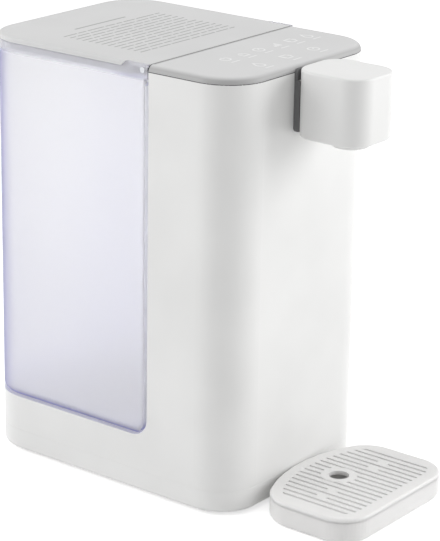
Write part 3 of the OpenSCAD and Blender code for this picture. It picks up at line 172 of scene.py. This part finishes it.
def frosted_clear_plastic():
    """Clear copolyester with a violet toner and a light frost: milky, and violet in thick edges.

    The rim is polished, so the lid's skirt shows through it, and the band above it is painted a
    little darker as the lid's shade. Lamps pass through the walls, so that the bay and the water
    parts behind stay lit.
    """
    made, tree, place = finish("frosted_clear_copolyester")
    frost = add(tree, "ShaderNodeTexNoise", {"Scale": per_metre(18), "Detail": 3.0},
                {"Vector": place})
    haze = add(tree, "ShaderNodeMapRange", {"To Min": 0.34, "To Max": 0.5},
               {"Value": frost.outputs["Fac"]})
    flow = add(tree, "ShaderNodeTexNoise", {"Scale": per_metre(30), "Detail": 1.0},
               {"Vector": place})
    relief = add(tree, "ShaderNodeBump", {"Strength": 0.2, "Distance": 0.4 * MM},
                 {"Height": flow.outputs["Fac"]})

    # Shares that change with height: between which heights, and from what to what
    height = add(tree, "ShaderNodeSeparateXYZ", None, {0: place}).outputs["Z"]
    share = {}
    for zone, low, high, start, end in (
            ("polish", TANK_RIM - 2, TANK_RIM, 1.0, 0.4),
            ("wall", TANK_FOOT + 0.5, TANK_RIM - 7, 0.0, 1.0),
            ("rim", TANK_RIM - 0.5, TANK_RIM + 0.5, 0.0, 1.0),
            ("foot", TANK_FOOT, TANK_FOOT + 4, 1.0, 0.0)):
        span = {"From Min": low * MM, "From Max": high * MM, "To Min": start, "To Max": end}
        share[zone] = add(tree, "ShaderNodeMapRange", span, {"Value": height}).outputs["Result"]
    rough = add(tree, "ShaderNodeMath", {"operation": "MULTIPLY"},
                {0: haze.outputs["Result"], 1: share["polish"]})

    # A wall that faces along no axis is a rounded corner, where the eye looks through more plastic
    normal = add(tree, "ShaderNodeTexCoord").outputs["Normal"]
    facing = add(tree, "ShaderNodeVectorMath", {"operation": "ABSOLUTE"}, {0: normal})
    turned = add(tree, "ShaderNodeSeparateXYZ", None, {0: facing.outputs["Vector"]})
    flat = turned.outputs["X"]
    for axis in "YZ":
        flat = add(tree, "ShaderNodeMath", {"operation": "MAXIMUM"},
                   {0: flat, 1: turned.outputs[axis]}).outputs[0]
    bend = {"From Min": 0.85, "From Max": 0.998, "To Min": 1.0, "To Max": 0.0}
    share["corner"] = add(tree, "ShaderNodeMapRange", bend, {"Value": flat}).outputs["Result"]
    share["foot"] = add(tree, "ShaderNodeMath", {"operation": "MULTIPLY"},
                        {0: share["foot"], 1: share["corner"]}).outputs[0]

    # Painted shade: the walls keep a darker tone through the lower third and grow lighter above it
    wall = add(tree, "ShaderNodeValToRGB", None, {"Fac": share["wall"]})
    for at in (0.27, 0.6):
        wall.color_ramp.elements.new(at)
    for stop, code in zip(wall.color_ramp.elements, ("#F9F9FB", "#F8F8FA", "#FCFCFD", "#FEFEFE")):
        stop.color = srgb(code)
    tone = wall.outputs["Color"]
    # The rim's tint is painted shade: the band above the rim is darkened as the lid's shadow on it
    for zone, code in (("corner", "#C2C2E0"), ("rim", "#E6E6EA"), ("foot", "#A8A8EC")):
        tone = add(tree, "ShaderNodeMix", {"data_type": "RGBA", TO: srgb(code)},
                   {SHARE: share[zone], FROM: tone}).outputs[MIXED]

    glass = add(tree, "ShaderNodeBsdfPrincipled", {"Transmission Weight": 0.74, "IOR": 1.5}, {
        "Base Color": tone,
        "Roughness": rough.outputs[0],
        "Normal": relief.outputs["Normal"]})
    open_to_lamps = add(tree, "ShaderNodeBsdfTransparent", {"Color": srgb("#FDFDFE")})
    path = add(tree, "ShaderNodeLightPath")
    shell = add(tree, "ShaderNodeMixShader", None, {
        0: path.outputs["Is Shadow Ray"], 1: glass.outputs[0], 2: open_to_lamps.outputs[0]})
    toner = add(tree, "ShaderNodeVolumeAbsorption", {"Color": srgb("#B2B2E2"), "Density": 14.0})
    close_with(tree, shell, toner)
    return made


def brushed_steel():
    """Stainless steel, drawn and lightly brushed: a soft streaked shine along one direction."""
    made, tree, place = finish("brushed_stainless_steel")
    along = add(tree, "ShaderNodeMapping", {"Scale": (1.0, 1.0, 0.04)}, {"Vector": place})
    streak, tone = mottled(tree, along.outputs["Vector"], 0.6, 3.0, ("#B4B6BA", "#D0D2D5"))
    shine = add(tree, "ShaderNodeMapRange", {"To Min": 0.22, "To Max": 0.42}, {"Value": streak})
    shader = add(tree, "ShaderNodeBsdfPrincipled", {"Metallic": 1.0},
                 {"Base Color": tone, "Roughness": shine.outputs["Result"]})
    close_with(tree, shader)
    return made


def soft_silicone():
    """Milky silicone rubber, extruded: waxy, with light going a little way in."""
    made, tree, place = finish("extruded_silicone_rubber")
    bloom, tone = mottled(tree, place, 6, 3.0, ("#D6D6CF", "#E2E2DC"))
    sheen = add(tree, "ShaderNodeMapRange", {"To Min": 0.4, "To Max": 0.55}, {"Value": bloom})
    shader = add(tree, "ShaderNodeBsdfPrincipled",
                 {"IOR": 1.41, "Subsurface Weight": 0.3, "Subsurface Scale": 2 * MM},
                 {"Base Color": tone, "Roughness": sheen.outputs["Result"]})
    close_with(tree, shader)
    return made


def lacquered_board():
    """Glass-epoxy circuit board under green lacquer: fine glass weave and faint copper runs."""
    made, tree, place = finish("lacquered_glass_epoxy_board")
    weave = add(tree, "ShaderNodeTexChecker", {"Scale": per_metre(1.2)}, {"Vector": place})
    runs = add(tree, "ShaderNodeTexBrick", {
        "Scale": per_metre(30), "Color1": srgb("#2E6A49"), "Color2": srgb("#2A6244"),
        "Mortar": srgb("#3D8259"), "Mortar Size": 0.03}, {"Vector": place})
    relief = add(tree, "ShaderNodeBump", {"Strength": 0.15, "Distance": 0.05 * MM},
                 {"Height": weave.outputs["Fac"]})
    shader = add(tree, "ShaderNodeBsdfPrincipled", {"Roughness": 0.32, "IOR": 1.52},
                 {"Base Color": runs.outputs["Color"], "Normal": relief.outputs["Normal"]})
    close_with(tree, shader)
    return made


def screen_ink(name, dark, light):
    """Screen-printed ink: a thin even film, faintly uneven at the scale of the screen's mesh."""
    made, tree, place = finish(name)
    tone = mottled(tree, place, 0.8, 2.0, (dark, light))[1]
    shader = add(tree, "ShaderNodeBsdfPrincipled", {"Roughness": 0.55, "IOR": 1.5},
                 {"Base Color": tone})
    close_with(tree, shader)
    return made


# Moulded: name, dark and light colour, roughness, grain's width and depth in mm, IOR, glow
finishes = {
    "white_abs": moulded_plastic(
        "satin_moulded_abs", "#E9E9E8", "#EEEEED", 0.36, 0.9, 0.02, 1.53),
    "grey_abs": moulded_plastic(
        "matte_moulded_grey_abs", "#D3D3D3", "#D7D7D7", 0.5, 0.8, 0.03, 1.53),
    "clear_tank": frosted_clear_plastic(),
    "inner_white": moulded_plastic(
        "moulded_polypropylene", "#DEDEDA", "#E4E4E0", 0.45, 1.2, 0.02, 1.49),
    "silicone": soft_silicone(),
    "black_rubber": moulded_plastic(
        "pressed_nitrile_rubber", "#232426", "#2B2C2F", 0.75, 1.0, 0.06, 1.52),
    "black_plastic": moulded_plastic(
        "glass_filled_nylon", "#28292B", "#303134", 0.5, 0.8, 0.05, 1.53),
    "steel": brushed_steel(),
    "circuit_board": lacquered_board(),
}
tray_plastic = moulded_plastic(
    "satin_moulded_milky_abs", "#EAE9E8", "#EFEEED", 0.36, 0.9, 0.02, 1.53, 0.6)
# Dark grey rubber for the pieces that stand in for the shade round the spout's neck
gap_shade_grey_rubber = moulded_plastic(
    "pressed_grey_rubber_gap_shade", "#666667", "#6E6E6F", 0.75, 1.0, 0.06, 1.52)
icon_ink = screen_ink("white_screen_ink", "#EAEAEA", "#F0F0F0")
line_ink = screen_ink("grey_screen_ink", "#A2A2A2", "#ACACAC")
# Grey ink for a line of painted shade along the panel's rear seam
seam_shade_ink = screen_ink("grey_seam_shade_ink", "#B2B2B2", "#BABABA")

own_finish = {
    "control_panel": film_with_painted_edge_shade(),
    "tray_pan": tray_plastic,
    "tray_grille": tray_plastic,
}
for part in frame["record"]["subparts"]:
    slots = frame["nodes"][part["node"]].data.materials
    slots.clear()
    slots.append(own_finish.get(part["node"], finishes[part["material_slot"]]))


def arc(cx, cy, r, start, end, steps=20):
    """Points along an arc, angles in degrees."""
    turn = [math.radians(start + (end - start) * i / steps) for i in range(steps + 1)]
    return [(cx + r * math.cos(t), cy + r * math.sin(t)) for t in turn]


def circle(cx, cy, r, steps=24):
    """Points round a circle, without repeating the first."""
    return arc(cx, cy, r, 0, 360, steps)[:-1]


def cover(mesh, rails, closed):
    """Faces along rails of four points each, with end caps where the run is open."""
    for a, b in zip(rails, rails[1:] + rails[:1] if closed else rails[1:]):
        for i, j in ((2, 3), (1, 0), (0, 2), (3, 1)):
            mesh.faces.new((a[i], a[j], b[j], b[i]))
    if not closed:
        for end, order in ((rails[0], (0, 1, 3, 2)), (rails[-1], (2, 3, 1, 0))):
            mesh.faces.new([end[i] for i in order])


def ribbon(mesh, points, width, low, high, closed):
    """A flat stroke along points, from the height low to the height high."""
    points = [Vector(p) for p in points]
    count = len(points)
    rails = []
    for i, p in enumerate(points):
        before = points[i - 1] if i or closed else None
        after = points[(i + 1) % count] if i < count - 1 or closed else None
        run_in = (p - before).normalized() if before else None
        run_out = (after - p).normalized() if after else None
        run = ((run_in or run_out) + (run_out or run_in)).normalized()
        side = Vector((-run.y, run.x)) * width / 2
        if run_in and run_out:
            # A mitre keeps the width at a bend, and ends at twice the width where it is sharp
            side /= max(run.dot(run_out), 0.5)
        ends = (p + side, p - side)
        rails.append([mesh.verts.new((q.x, q.y, z)) for z in (low, high) for q in ends])
    cover(mesh, rails, closed)


def placed(name, mesh, material):
    """An object in the scene from a finished mesh."""
    data = bpy.data.meshes.new(name)
    mesh.to_mesh(data)
    mesh.free()
    data.materials.append(material)
    made = bpy.data.objects.new(name, data)
    scene.collection.objects.link(made)
    return made


def piece_of(name, mesh, material, body):
    """An object from a finished mesh, riding on a body."""
    bmesh.ops.recalc_face_normals(mesh, faces=mesh.faces)
    piece = placed(name, mesh, material)
    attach(piece, body)
    return piece


def laid(name, strokes, material, body, low, high):
    """One flat piece between two heights: strokes are points, width and closed, all in mm."""
    mesh = bmesh.new()
    for points, width, closed in strokes:
        points = [(x * MM, y * MM) for x, y in points]
        ribbon(mesh, points, width * MM, low * MM, high * MM, closed)
    piece_of(name, mesh, material, body)


# How far ink and gasket stand out of a surface, and how far ink reaches into it, in mm
PROUD, INK_ROOT = 0.01, 0.05


def printed(name, strokes, material, body, top):
    """A printed piece: a thin film of ink on the face at height top."""
    laid(name, strokes, material, body, top - INK_ROOT, top + PROUD)


# Size of the touch icons and width of their strokes, in mm
ICON_SIZE, PEN = 9.5, 1.15


def drop(size):
    """A falling drop."""
    return [(arc(0, -0.12 * size, 0.34 * size, 150, 390) + [(0, 0.55 * size)], PEN, True)]


def cup(size):
    """A small cup with a handle."""
    w, h, foot, r = 0.34 * size, 0.4 * size, -0.2 * size, 0.15 * size
    sides = [(-w, h), (-w, foot)] + arc(-w + r, foot, r, 180, 270, 6)
    sides += arc(w - r, foot, r, 270, 360, 6) + [(w, h)]
    return [(sides, PEN, True), (arc(w, 0.08 * size, 0.16 * size, 90, -90, 10), PEN, False)]


def padlock(size):
    """A closed padlock."""
    w, low, high = 0.32 * size, -0.4 * size, 0.05 * size
    case = [(-w, low), (w, low), (w, high), (-w, high)]
    return [(case, PEN, True), (arc(0, high, 0.22 * size, 180, 0, 12), PEN, False)]


def dial(size):
    """A ring with a mark, for temperature."""
    mark = [(0, 0), (0.2 * size, 0.22 * size)]
    return [(circle(0, 0, 0.42 * size), PEN, True), (mark, PEN, False)]


def levels(size):
    """Three rising bars, for the amount."""
    bars = []
    for i, h in enumerate((0.25, 0.5, 0.75)):
        x = (i - 1) * 0.28 * size
        bars.append(([(x, -0.38 * size), (x, (h - 0.38) * size)], 1.6 * PEN, False))
    return bars


def switch(size):
    """A ring broken at the top by a stroke."""
    stroke = [(0, 0.1 * size), (0, 0.46 * size)]
    return [(arc(0, 0, 0.38 * size, 120, 420), PEN, False), (stroke, PEN, False)]


# Two rows of touch icons, each row by its distance from the panel's front and its icons by x
panel_low, panel_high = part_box("control_panel")
panel_top = panel_high[2] / MM
panel_front = panel_low[1] / MM
panel_rear = panel_high[1] / MM
back_row = ((switch, -32.5), (padlock, -14.5), (dial, 3.5),
            (levels, 21.5), (cup, 39.5), (drop, 57.5))
front_row = ((drop, -30), (cup, 0), (dial, 30))
line_below = ([(-4.5, -8.5), (4.5, -8.5)], PEN, False)
for row, distance, icons in (("back", 44.5, back_row), ("front", 19, front_row)):
    strokes, y = [], panel_front + distance
    for shape, x in icons:
        for points, width, closed in shape(ICON_SIZE) + [line_below]:
            strokes.append(([(px + x, py + y) for px, py in points], width, closed))
    printed("touch_icons_" + row, strokes, icon_ink, "root", panel_top)

# Rows of dashes on the lid, with one longer line behind them
lid_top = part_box("lid_cover")[1][2] / MM
lid_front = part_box("lid_cover")[0][1] / MM
LONG_LINE_Y, FIRST_ROW_Y, ROW_STEP, ROW_COUNT = 108.5, 99, 5.6, 13
ROW_LEFT, ROW_RIGHT, ROW_WIDTH, DASH_GAP, SHORTEST_DASH = -54.0, 47, 1.4, 1.6, 3
DASHES, DASH_SHIFT = (13, 8, 17, 10, 6, 12, 19, 9, 15), 4
lid_lines = [([(-32, LONG_LINE_Y), (21, LONG_LINE_Y)], 1.8, False)]
for row in range(ROW_COUNT):
    x, y, k = ROW_LEFT, FIRST_ROW_Y - ROW_STEP * row, row * DASH_SHIFT
    while x < ROW_RIGHT - SHORTEST_DASH:
        end = min(x + DASHES[k % len(DASHES)], ROW_RIGHT)
        lid_lines.append(([(x, y), (end, y)], ROW_WIDTH, False))
        x, k = end + DASH_GAP, k + 1
printed("lid_lines", lid_lines, line_ink, "lid", lid_top)

shell_low, shell_high = (Vector(corner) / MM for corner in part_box("outer_shell"))
half_w, front_y, rear_y, shell_top = shell_high.x, shell_low.y, shell_high.y, shell_high.z
base_top = shell_low.z
BODY_CORNER, PANEL_DOME, SEAL_WIDTH = 30, 4.5, 1.0


def front_corners(inset):
    """Points round the body's two front corners, from left to right."""
    r = BODY_CORNER - inset
    x, y = half_w - BODY_CORNER, front_y + BODY_CORNER
    return arc(-x, y, r, 180, 270) + arc(x, y, r, 270, 360)


def rear_corners(inset):
    """Points round the body's two rear corners, from right to left."""
    r = BODY_CORNER - inset
    x, y = half_w - BODY_CORNER, rear_y - BODY_CORNER
    return arc(x, y, r, 0, 90) + arc(-x, y, r, 90, 180)


# A thin black rubber gasket under the panel's edge is painted shade: the seam is real, and the
# gasket's dark line stands in for its shadow
inset = SEAL_WIDTH / 2 - PROUD
side = half_w - inset
gasket = [(-side, panel_rear)] + front_corners(inset) + [(side, panel_rear)]
laid("panel_gasket_edge_shade", [(gasket, SEAL_WIDTH, False)], finishes["black_rubber"], "root",
     shell_top - 0.2, shell_top + 0.25)

# A seal closes the joint of shell and base, a little below their surface
inset = SEAL_WIDTH / 2 + 0.12
ring = front_corners(inset) + rear_corners(inset)
laid("base_joint_seal", [(ring, SEAL_WIDTH, True)], finishes["white_abs"], "root",
     base_top - 0.4, base_top + 0.05)


def upright_rubber(name, outer, inner, y0, y1, closed, material):
    """A rubber piece between two upright lines of points x and z, from depth y0 to depth y1."""
    mesh = bmesh.new()
    rails = []
    for (xo, zo), (xi, zi) in zip(outer, inner):
        corners = ((xi, y0, zi), (xi, y1, zi), (xo, y0, zo), (xo, y1, zo))
        rails.append([mesh.verts.new(Vector(c) * MM) for c in corners])
    cover(mesh, rails, closed)
    piece_of(name, mesh, material, "root")


def over_the_top(r):
    """Points over the panel's domed section, from the left edge to the right."""
    x = half_w - PANEL_DOME
    return arc(-x, shell_top, r, 170, 90, 10) + arc(x, shell_top, r, 90, 10, 10)


def round_frame(half, low, high, r):
    """Points round an upright rectangle with rounded corners."""
    x, bottom, top = half - r, low + r, high - r
    spots = ((x, top, 0), (-x, top, 90), (-x, bottom, 180), (x, bottom, 270))
    return [p for cx, cz, turn in spots for p in arc(cx, cz, r, turn, turn + 90, 8)]


# A black rubber strip on the panel's rear edge fills the seam in front of the lid, clear of the lid
# itself: it is painted shade, dark where the seam's shadow falls
upright_rubber("lid_seam_shade_strip", over_the_top(PANEL_DOME - 0.06), over_the_top(PANEL_DOME - 2),
               panel_rear - 0.02, lid_front - 0.25, False, finishes["black_rubber"])

# A grey printed line along the panel's rear edge is painted shade: it widens the seam's shadow
shade_line_y, shade_line_x = panel_rear - 0.85, half_w - PANEL_DOME
printed("panel_seam_shade_line", [([(-shade_line_x, shade_line_y), (shade_line_x, shade_line_y)], 1.6, False)],
        seam_shade_ink, "root", panel_top)

# A dark grey rubber seal round the spout's neck fills the gap from the body to the head: it is
# painted shade, dark where the gap is shaded
head_low, head_high = (Vector(corner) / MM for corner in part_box("head_cover"))
NECK_HALF, neck_top = 16, head_high.z - 9
upright_rubber("spout_gap_shade_seal", round_frame(NECK_HALF + 1, head_low.z + 1.2, head_high.z - 1.5, 3),
               round_frame(NECK_HALF + 0.1, head_low.z + 2.4, neck_top + 0.1, 0.2),
               head_high.y + 0.03, front_y - 0.03, True, gap_shade_grey_rubber)

# A dark grey rubber sleeve covers the neck's sides inside the head, as painted shade on the neck
sleeve_x, sleeve_y = NECK_HALF + 0.5, head_high.y - 2.1
sleeve = [([(x, head_high.y), (x, sleeve_y)], 0.9, False) for x in (-sleeve_x, sleeve_x)]
laid("neck_shade_sleeve", sleeve, gap_shade_grey_rubber, "root", head_low.z + 2.6, neck_top)

# A white ring closes the joint of grille and pan, a little below their surface
pan_low, pan_high = (Vector(corner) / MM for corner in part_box("tray_pan"))
pan_points = frame["nodes"]["tray_pan"].data.vertices
edge = [v.co.xy / MM for v in pan_points if v.co.z / MM > pan_high.z - 0.01]
middle, half = (pan_low.xy + pan_high.xy) / 2, (pan_high.xy - pan_low.xy) / 2
inset = SEAL_WIDTH / 2 + 0.03
ring = [edge[i] - middle for i in convex_hull_2d(edge)]
ring = [(p.x * (1 - inset / half.x) + middle.x, p.y * (1 - inset / half.y) + middle.y)
        for p in ring]
laid("tray_joint_seal", [(ring, SEAL_WIDTH, True)], tray_plastic, "grille",
     pan_high.z + 0.02, pan_high.z + 0.32)


def valve_spring():
    """Coil spring over the tank's valve, in the CAD spring's place."""
    low, high = (Vector(corner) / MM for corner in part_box("valve_spring"))
    middle = (low + high) / 2
    wire, turns, steps, sides = 0.5, 6, 24, 8
    r, rise = (high.x - low.x) / 2 - wire, high.z - low.z - 2 * wire
    mesh = bmesh.new()
    rings = []
    for i in range(turns * steps + 1):
        turn = 2 * math.pi * i / steps
        z = low.z + wire + rise * i / (turns * steps)
        ring = []
        for k in range(sides):
            round_wire = 2 * math.pi * k / sides
            out = r + wire * math.cos(round_wire)
            spot = (middle.x + out * math.cos(turn), middle.y + out * math.sin(turn),
                    z + wire * math.sin(round_wire))
            ring.append(mesh.verts.new(Vector(spot) * MM))
        rings.append(ring)
    for a, b in zip(rings, rings[1:]):
        for k in range(sides):
            mesh.faces.new((a[k], a[k - 1], b[k - 1], b[k]))
    mesh.faces.new(rings[0])
    mesh.faces.new(rings[-1][::-1])
    coil = piece_of("valve_spring_coil", mesh, finishes["steel"], "tank")
    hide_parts("valve_spring")
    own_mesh(coil)


valve_spring()

# Strength of the room's light on surfaces, and of the floor's glow in mirrors and to the camera.
# A strength of 1 is white; the far floor, out of reach of the lamps, needs its share to be so.
ROOM_LIGHT, FLOOR_IN_MIRRORS, FAR_FLOOR = 0.49, 0.45, 0.57


def studio():
    """White room for the eye, mirrors and glass, and a plain level of light for the surfaces."""
    world = bpy.data.worlds.new("white_studio")
    scene.world = world
    world.use_nodes = True
    tree = world.node_tree
    tree.nodes.clear()
    path = add(tree, "ShaderNodeLightPath")
    seen = path.outputs["Is Camera Ray"]
    for ray in ("Is Glossy Ray", "Is Transmission Ray"):
        seen = add(tree, "ShaderNodeMath", {"operation": "MAXIMUM"},
                   {0: seen, 1: path.outputs[ray]}).outputs[0]
    level = add(tree, "ShaderNodeMapRange", {"To Min": ROOM_LIGHT, "To Max": 1.0}, {"Value": seen})
    sky = add(tree, "ShaderNodeBackground", {"Color": (1, 1, 1, 1)},
              {"Strength": level.outputs["Result"]})
    add(tree, "ShaderNodeOutputWorld", None, {"Surface": sky.outputs[0]})


def softbox(name, place, aim, size, power):
    """A square soft lamp that faces the object, in metres and watts."""
    lamp = bpy.data.lights.new(name, "AREA")
    lamp.size, lamp.energy = size, power
    made = bpy.data.objects.new(name, lamp)
    made.location = place
    made.rotation_euler = (Vector(aim) - Vector(place)).to_track_quat("-Z", "Y").to_euler()
    scene.collection.objects.link(made)


def floor():
    """Matt paper table top: keeps the object's shadow and meets the white room without a line."""
    made, tree, place = finish("matt_white_paper")
    tone = mottled(tree, place, 3, 2.0, ("#F3F3F3", "#F6F6F6"))[1]
    paper = add(tree, "ShaderNodeBsdfDiffuse", None, {"Color": tone})
    path = add(tree, "ShaderNodeLightPath")
    mirrored = add(tree, "ShaderNodeMath", {"operation": "MAXIMUM"},
                   {0: path.outputs["Is Glossy Ray"], 1: path.outputs["Is Transmission Ray"]})
    level = add(tree, "ShaderNodeMath", {"operation": "MULTIPLY", 1: FLOOR_IN_MIRRORS},
                {0: mirrored.outputs[0]})
    level = add(tree, "ShaderNodeMath", {"operation": "MULTIPLY_ADD", 1: FAR_FLOOR},
                {0: path.outputs["Is Camera Ray"], 2: level.outputs[0]})
    glow = add(tree, "ShaderNodeEmission", {"Color": (1, 1, 1, 1)}, {"Strength": level.outputs[0]})
    both = add(tree, "ShaderNodeAddShader", None, {0: paper.outputs[0], 1: glow.outputs[0]})
    close_with(tree, both)
    mesh = bmesh.new()
    bmesh.ops.create_grid(mesh, x_segments=8, y_segments=8, size=6.0)
    table = placed("table_top", mesh, made)
    table.location.z = -0.2 * MM


# The camera fitted to the photograph's edges: angles in degrees, lengths in mm
CAMERA_TURN, CAMERA_LIFT, CAMERA_ROLL = -52.327, 18.805, 0.944
AIM, DISTANCE, TO_RIGHT, TO_TOP = (0, 43, 152), 1576.0, 30.05, -16.93
# Its focal length in pixels of an image of 440 by 541, and a sensor as long as the image's height
FOCAL_PX, IMAGE_HEIGHT_PX, SENSOR = 2255.9, 541, 36


def camera():
    """The camera at the photograph's viewing angle."""
    turn, lift, roll = (math.radians(v) for v in (CAMERA_TURN, CAMERA_LIFT, CAMERA_ROLL))
    level = Vector((math.cos(turn), math.sin(turn), 0))
    back = Vector((math.sin(turn) * math.cos(lift), -math.cos(turn) * math.cos(lift),
                   math.sin(lift)))
    rise = back.cross(level)
    right = math.cos(roll) * level + math.sin(roll) * rise
    up = math.cos(roll) * rise - math.sin(roll) * level
    data = bpy.data.cameras.new("camera")
    data.sensor_width = SENSOR
    data.lens = FOCAL_PX * SENSOR / IMAGE_HEIGHT_PX
    made = bpy.data.objects.new("camera", data)
    spot = Vector(AIM) + back * DISTANCE + right * TO_RIGHT + up * TO_TOP
    axes = Matrix((right, up, back)).transposed().to_4x4()
    made.matrix_world = Matrix.Translation(spot * MM) @ axes
    scene.collection.objects.link(made)
    scene.camera = made


studio()
softbox("left_softbox", (-0.95, 1.05, 0.75), (0, 0, 0.15), 1.0, 9.5)
softbox("right_softbox", (0.85, -1.15, 0.75), (0, 0, 0.15), 1.0, 11.7)
softbox("top_softbox", (0, 0, 1.5), (0, 0, 0.3), 1.2, 3.3)
floor()
camera()
scene.view_settings.view_transform = "Standard"
